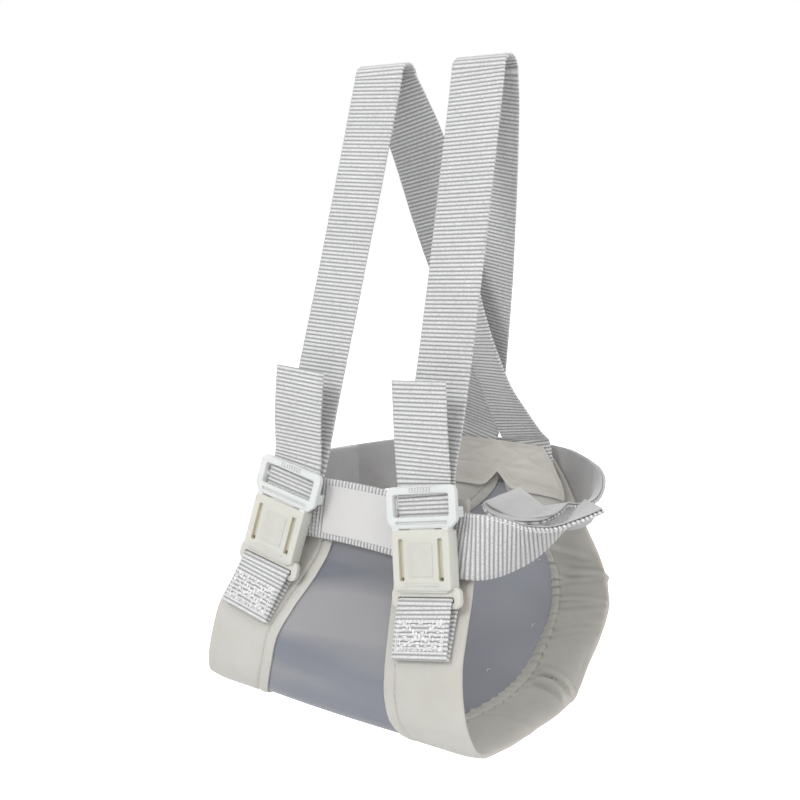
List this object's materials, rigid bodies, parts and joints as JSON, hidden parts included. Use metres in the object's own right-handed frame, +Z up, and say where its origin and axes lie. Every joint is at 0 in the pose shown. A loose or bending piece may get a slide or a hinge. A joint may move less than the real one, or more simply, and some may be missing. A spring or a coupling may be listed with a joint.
{
  "type": "infant hip abduction brace",
  "caption": "Infant hip abduction brace: a clear saddle edged in ivory vinyl, hung from crossed white webbing shoulder straps with side buckles, and closed by a webbing waist belt.",
  "frame": {"origin": "middle of the line along the top of the bar that the shoulder straps fold over", "axes": "+Z up, +X to the right as seen from the front, -Y to the front with the two buckles"},
  "size_m": [0.2063, 0.1746, 0.3226],
  "materials": {
    "clear_plastic": "clear stiff plastic sheet, lavender grey, softly glossy",
    "vinyl": "smooth ivory vinyl with a faint grain, satin",
    "webbing": "white webbing with cross ribs two millimetres apart",
    "lining": "grey brushed loop fabric, matt",
    "adjuster_plastic": "milky moulded plastic, satin",
    "socket_plastic": "ivory moulded plastic, satin",
    "label": "blank white satin ribbon"
  },
  "bodies": {
    "root": {"shell": "clear_plastic", "edge_band_right": "vinyl", "edge_band_left": "vinyl", "back_patch": "vinyl", "strap_right": "webbing", "strap_left": "webbing", "tab_right": "webbing", "tab_left": "webbing", "buckle_adjuster_right": "adjuster_plastic", "buckle_adjuster_left": "adjuster_plastic", "buckle_socket_right": "socket_plastic", "buckle_socket_left": "socket_plastic", "belt_front": "webbing", "belt_front_lining": "lining", "belt_back": "webbing", "belt_back_lining": "lining", "belt_label": "label"}
  },
  "joints": []
}
